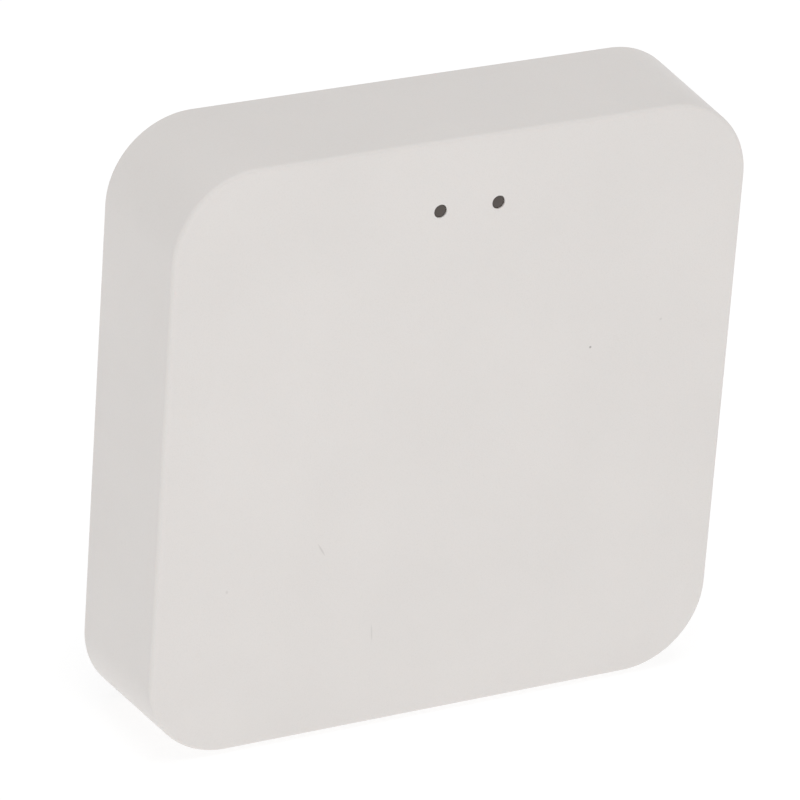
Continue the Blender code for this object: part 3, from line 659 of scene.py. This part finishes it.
def cover_openings():
    """What is cut from the cover: screw pilots, light windows, the plug's mouth and the button's hole."""
    made = []
    pilots = [(place, BOSS_PILOT, BOSS_TOP_Y) for place in CORNERS]
    pilots += [(place, POST_PILOT, POST_TOP_Y) for place in POSTS]
    for (x, z), (radius, end_y), top_y in pilots:
        made.append(prism("pilot", circle(radius, 32), end_y, top_y + PAST, centre=at(x, 0, z)))
    for x in LIGHT_X:
        centre, bore = at(x, 0, LIGHT_Z), circle(CHIMNEY_BORE_RADIUS, 48)
        made.append(round_hole("window", WINDOW_RADIUS, FRONT_Y, CAVITY_FRONT_Y + PAST, 0.05 * MM, centre))
        made.append(prism("bore", bore, CAVITY_FRONT_Y, CHIMNEY_TOP_Y + PAST, centre=centre))
    side_x = RIM_HALF - side_inset(SIDE_Y)
    inner_x = RIM_HALF - WALL - 2.0 * MM
    socket, button = at(0, SIDE_Y, SOCKET_Z), at(0, SIDE_Y, BUTTON_Z)
    made.append(square_hole("mouth", MOUTH, side_x, inner_x, 0.2 * MM, socket, "X"))
    made.append(round_hole("button_hole", BUTTON_HOLE_RADIUS, side_x, inner_x, 0.15 * MM, button, "X"))
    return made


def front_cover():
    cover = cover_moulding()
    join(cover, cover_bosses())
    cut(cover, cover_openings())
    piece(cover, "housing", stands_for=["front_cover"])


def plate_openings():
    """What is cut from the plate: screw cups, the feet's and the label's recesses, and the vents."""
    screw_radius, head_radius = 1.25 * MM, 2.3 * MM
    sole_floor = PLATE_OUT_Y - FOOT_RECESS
    made = []
    for x, z in CORNERS:
        centre = at(x, 0, z)
        profile = [
            (COLLAR_END_Y - PAST, screw_radius),
            (CASE_SEAT_Y, screw_radius),
            (CASE_SEAT_Y, head_radius),
            (sole_floor + 0.1 * MM, head_radius),
        ]
        made.append(turned("screw_cup", profile, centre=centre))
        radius = FOOT_RADIUS + PLATE_GAP
        made.append(round_hole("foot_recess", radius, PLATE_OUT_Y, sole_floor, 0.12 * MM, centre, steps=96))
    recess = (LABEL_WIDTH + 2 * PLATE_GAP, LABEL_HEIGHT + 2 * PLATE_GAP, LABEL_CORNER)
    label_floor = LABEL_LOW.y - SEAT
    centre = Vector((0, 0, LABEL_Z))
    made.append(square_hole("label_recess", recess, PLATE_OUT_Y, label_floor, 0.08 * MM, centre, steps=12))
    for x in VENTS:
        inside = PLATE_IN_Y - PAST
        made.append(square_hole("vent", VENT, PLATE_OUT_Y, inside, 0.15 * MM, at(x, 0, VENT_Z)))
    return made


def back_plate():
    half = (PLATE_HIGH.x - PLATE_LOW.x) / 2
    corner = CORNER - POCKET_LIP - PLATE_GAP
    edge = 0.25 * MM

    def outline(inset):
        return rounded_rectangle(2 * (half - inset), 2 * (half - inset), corner - inset, 32)

    sections = [(PLATE_IN_Y, outline(0))]
    for sine, cosine in arc(5):
        sections.append((PLATE_OUT_Y - edge * (1 - sine), outline(edge * (1 - cosine))))
    plate = loft("rear_moulding", sections)
    collars = []
    for x, z in CORNERS:
        outer = circle(COLLAR_RADIUS)
        collars.append(prism("collar", outer, COLLAR_END_Y, PLATE_IN_Y + ROOT, centre=at(x, 0, z)))
    join(plate, collars)
    cut(plate, plate_openings())
    piece(plate, "housing", stands_for=["back_plate"])


def feet():
    """Four round soles, each with a rounded rim and a shallow dish."""
    edge, dish = 0.45 * MM, 0.12 * MM
    dish_radius, dish_edge = FOOT_RADIUS - 2.4 * edge, 0.4 * MM
    for number in range(1, 5):
        low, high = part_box(f"foot_{number}")
        centre = Vector(((low.x + high.x) / 2, 0, (low.z + high.z) / 2))
        profile = [(low.y, FOOT_RADIUS)]
        for sine, cosine in arc(8):
            profile.append((high.y - edge * (1 - sine), FOOT_RADIUS - edge * (1 - cosine)))
        for sine, cosine in arc(4):
            profile.append((high.y - dish * (1 - cosine), dish_radius - dish_edge * sine))
        foot = turned(f"sole_{number}", profile, centre=centre, steps=96)
        piece(foot, "rubber", stands_for=[f"foot_{number}"])


def label():
    edge = 0.04 * MM
    outline = rounded_rectangle(LABEL_WIDTH, LABEL_HEIGHT, LABEL_CORNER)
    top = rounded_rectangle(LABEL_WIDTH - 2 * edge, LABEL_HEIGHT - 2 * edge, LABEL_CORNER - edge)
    sections = [(LABEL_LOW.y, outline), (LABEL_HIGH.y - edge, outline), (LABEL_HIGH.y, top)]
    film = loft("blank_label", sections, centre=Vector((0, 0, LABEL_Z)))
    piece(film, "label", stands_for=["rating_label"])


def light_guide():
    """The smoked pipe: a bar behind the front wall, and a tip with a slightly domed face in each window."""
    bar_thickness, bar_corner = 0.55 * MM, 1.2 * MM
    recess, dome, step = 0.1 * MM, 0.06 * MM, 0.1 * MM
    outline = rounded_rectangle(PIPE_HIGH.x - PIPE_LOW.x, PIPE_HIGH.z - PIPE_LOW.z, bar_corner)
    middle = at(sum(LIGHT_X) / 2, 0, LIGHT_Z)
    bar = prism("light_guide", outline, PIPE_HIGH.y - bar_thickness, PIPE_HIGH.y, centre=middle)
    tip_y, shoulder_y = FRONT_Y + recess, CAVITY_FRONT_Y + step
    profile = []
    for sine, _ in arc(6)[1:]:
        profile.append((tip_y + dome * (1 - math.sqrt(1 - (sine * 0.98) ** 2)), TIP_RADIUS * sine))
    profile += [
        (shoulder_y, TIP_RADIUS),
        (shoulder_y + step, PIPE_SHOULDER_RADIUS),
        (PIPE_HIGH.y - step, PIPE_SHOULDER_RADIUS),
    ]
    join(bar, [turned("tip", profile, centre=at(x, 0, LIGHT_Z), steps=48) for x in LIGHT_X])
    piece(bar, "smoked_acrylic", stands_for=["light_pipe"])


# ---------------------------------------------------------------- side


def socket_corners():
    """The power socket's outline as (y, z), anticlockwise, narrower on the side next to the board."""
    w, h = (SOCKET_HIGH.z - SOCKET_LOW.z) / 2, (SOCKET_HIGH.y - SOCKET_LOW.y) / 2
    off = 0.8 * MM
    return [(-h, -w), (h - off, -w), (h, off - w), (h, w - off), (h - off, w), (-h, w)]


def socket_shell():
    """The socket's folded sheet, with a rounded lip at its mouth and two spring slots in its front side."""
    corners = socket_corners()
    sheet, lip, back_edge = 0.3 * MM, 0.07 * MM, 0.15 * MM
    mouth_x, back_x = SOCKET_HIGH.x, SOCKET_LOW.x

    def outline(inset):
        return rounded_polygon(grown(corners, -inset), 0.42 * MM - inset * 0.8)

    sections = [(SOCKET_FLOOR_X, outline(sheet))]
    for sine, cosine in arc(4):
        sections.append((mouth_x - lip * (1 - sine), outline(sheet - lip * (1 - cosine))))
    for sine, cosine in arc(4):
        sections.append((mouth_x - lip * (1 - cosine), outline(lip * (1 - sine))))
    sections += [(back_x + back_edge, outline(0.0)), (back_x, outline(back_edge))]
    shell = loft("socket_sheet", sections, "X", SOCKET_CENTRE)

    slots = []
    slot_outline = rounded_rectangle(0.5 * MM, 0.7 * MM, 0.12 * MM, 4)
    slot_start, slot_end = mouth_x - 3.4 * MM, mouth_x - 1.0 * MM
    front_y = (SOCKET_LOW.y - SOCKET_HIGH.y) / 2
    for z in (-1.9 * MM, 1.9 * MM):
        centre = SOCKET_CENTRE + Vector((0, front_y, z))
        slots.append(prism("spring_slot", slot_outline, slot_start, slot_end, "X", centre))
    cut(shell, slots)
    piece(shell, "tinned_steel", stands_for=["socket_shell"])


def socket_tongue():
    """The moulded block at the bottom of the socket, and the flat tongue that stands on it."""
    width, depth = INSULATOR_HIGH.z - INSULATOR_LOW.z, INSULATOR_HIGH.y - INSULATOR_LOW.y
    block_outline = rounded_rectangle(depth, width, 0.15 * MM, 4)
    block = prism("socket_tongue", block_outline, INSULATOR_LOW.x, TONGUE_ROOT_X, "X", SOCKET_CENTRE)
    thickness, tongue_width = TONGUE
    edge = 0.12 * MM
    outline = rounded_rectangle(thickness, tongue_width, 0.1 * MM, 4)
    tip = rounded_rectangle(thickness - edge, tongue_width - edge, 0.06 * MM, 4)
    end_x = INSULATOR_HIGH.x
    sections = [(TONGUE_ROOT_X - ROOT, outline), (end_x - edge, outline), (end_x, tip)]
    join(block, [loft("tongue", sections, "X", TONGUE_CENTRE)])
    piece(block, "black_resin", stands_for=["socket_insulator"])


def socket_contacts():
    """Five gilt strips along the tongue, on its side towards the back."""
    width, strip, pitch = 0.38 * MM, 0.08 * MM, 0.65 * MM
    start_x, end_x = TONGUE_ROOT_X + 0.05 * MM, INSULATOR_HIGH.x - 0.35 * MM
    outline = rounded_rectangle(strip, width, 0.03 * MM, 3)
    tip = rounded_rectangle(strip * 0.5, width * 0.8, 0.015 * MM, 3)
    sections = [(start_x, outline), (end_x - 0.1 * MM, outline), (end_x, tip)]
    y = TONGUE_CENTRE.y + TONGUE[0] / 2 + 0.02 * MM + strip / 2
    for index in range(5):
        centre = Vector((0, y, TONGUE_CENTRE.z + (index - 2) * pitch))
        piece(loft(f"socket_contact_{index + 1}", sections, "X", centre), "copper")


def reset_button():
    """The button's cap, with a shallow dish in its face, its flange inside the wall and its stem."""
    face_x, (flange_start, flange_end) = BUTTON_HIGH.x, FLANGE_X
    edge, dish, dish_steps = 0.28 * MM, 0.12 * MM, 7
    profile = [
        (BUTTON_LOW.x, STEM_RADIUS),
        (flange_start, STEM_RADIUS),
        (flange_start, FLANGE_RADIUS),
        (flange_end, FLANGE_RADIUS),
        (flange_end, BUTTON_RADIUS),
    ]
    for sine, cosine in arc(7):
        profile.append((face_x - edge * (1 - sine), BUTTON_RADIUS - edge * (1 - cosine)))
    dish_radius = BUTTON_RADIUS - edge - 0.12 * MM
    for step in range(dish_steps):
        across = 1 - step / dish_steps
        profile.append((face_x - dish * (1 - across**2), dish_radius * across))
    cap = turned("button_cap", profile, "X", at(0, SIDE_Y, BUTTON_Z), steps=80)
    piece(cap, "housing", "reset_button", ["reset_button"])


def snap_dome():
    """The switch's pressed sheet dome, built only in its resting shape; the real one flattens under the
    plunger as the button goes in.
    """
    sheet = 0.06 * MM
    base_radius, height = (DOME_HIGH.z - DOME_LOW.z) / 2, DOME_HIGH.x - DOME_LOW.x
    bend = (base_radius**2 + height**2) / (2 * height)
    centre_x = DOME_HIGH.x - bend
    steps = 10
    profile = []
    for radius, way in ((bend - sheet, 1), (bend, -1)):
        last = math.acos((DOME_LOW.x - centre_x) / radius)
        turns = [last * (index + 0.4) / (steps + 0.4) for index in range(steps + 1)][::way]
        profile += [(centre_x + radius * math.cos(turn), radius * math.sin(turn)) for turn in turns]
    centre = Vector((0, (DOME_LOW.y + DOME_HIGH.y) / 2, (DOME_LOW.z + DOME_HIGH.z) / 2))
    dome = turned("dome_sheet", profile, "X", centre)
    piece(dome, "tinned_steel", stands_for=["switch_dome"])
    for modifier in list(dome.modifiers):
        dome.modifiers.remove(modifier)
    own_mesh(dome)


# ---------------------------------------------------------------- carried-over CAD nodes


def dress_cad_nodes():
    for entry in frame["record"]["subparts"]:
        node = NODES[entry["node"]]
        look = SLOT_LOOKS[entry["material_slot"]]
        if not node.material_slots:
            node.data.materials.append(look)
        for holder in node.material_slots:
            holder.material = look


# ---------------------------------------------------------------- studio


def floor():
    made = prism("studio_floor", circle(FLOOR_RADIUS, 128), -FLOOR_THICKNESS, 0.0, "Z", Vector((0, 0, 0)))
    n = Nodes("studio_floor")
    tone = n.span(n.noise(6.0, 2.0), 0.3, 0.7, 0.0, 1.0)
    n.set(Base_Color=n.mix(tone, (0.35, 0.35, 0.35), (0.37, 0.37, 0.37)))
    n.set(Roughness=0.9, Specular_IOR_Level=0.1)
    n.set(Emission_Color=(1.0, 1.0, 1.0), Emission_Strength=FLOOR_GLOW)
    n.bump([(n.noise(900.0), 0.05, 0.05 * MM)])
    made.data.materials.append(n.material)


def direction(azimuth, elevation):
    """The way from the hub to a viewer: azimuth 0 is in front of it, and 90 is on its right, at +X."""
    a, e = math.radians(azimuth), math.radians(elevation)
    return Vector((math.sin(a) * math.cos(e), -math.cos(a) * math.cos(e), math.sin(e)))


def soft_box(name, azimuth, elevation, distance, size, power):
    """A square area light that faces the hub. Its size and distance are in metres, its power in watts."""
    back = direction(azimuth, elevation)
    light = bpy.data.lights.new(name, "AREA")
    light.size = size
    light.energy = power
    made = bpy.data.objects.new(name, light)
    made.location = Vector((0, 0, MID_Z)) + back * distance
    made.rotation_mode = "QUATERNION"
    made.rotation_quaternion = (-back).to_track_quat("-Z", "Y")
    bpy.context.scene.collection.objects.link(made)


def studio_world():
    """An even pale surround, as white as the floor up to the horizon and dimmer from there up."""
    world = bpy.data.worlds.new("studio")
    bpy.context.scene.world = world
    world.use_nodes = True
    tree = world.node_tree
    background = tree.nodes["Background"]
    place = tree.nodes.new("ShaderNodeTexCoord")
    split = tree.nodes.new("ShaderNodeSeparateXYZ")
    ramp = tree.nodes.new("ShaderNodeMapRange")
    tree.links.new(place.outputs["Generated"], split.inputs[0])
    tree.links.new(split.outputs[2], ramp.inputs[0])
    for socket, value in zip(ramp.inputs[1:], (*WORLD_RAMP, WORLD_HORIZON, WORLD_TOP)):
        socket.default_value = value
    tree.links.new(ramp.outputs[0], background.inputs["Strength"])
    background.inputs["Color"].default_value = (1.0, 1.0, 1.0, 1.0)


def camera():
    back = direction(AZIMUTH, ELEVATION)
    data = bpy.data.cameras.new("camera")
    data.lens = LENS
    data.sensor_width = 36.0
    data.clip_start, data.clip_end = 0.01, 20.0
    made = bpy.data.objects.new("camera", data)
    made.rotation_mode = "QUATERNION"
    level = (-back).to_track_quat("-Z", "Y")
    made.rotation_quaternion = Quaternion(back, math.radians(ROLL)) @ level
    made.location = AIM + back * DISTANCE
    bpy.context.scene.collection.objects.link(made)
    bpy.context.scene.camera = made


camera()
floor()
studio_world()
soft_box("front_box", azimuth=-8, elevation=1, distance=0.22, size=0.05, power=0.043)
soft_box("top_box", azimuth=-30, elevation=85, distance=1.0, size=0.8, power=3.35)
bpy.context.scene.view_settings.view_transform = "Standard"

front_cover()
back_plate()
feet()
label()
light_guide()
socket_shell()
socket_tongue()
socket_contacts()
reset_button()
snap_dome()
dress_cad_nodes()
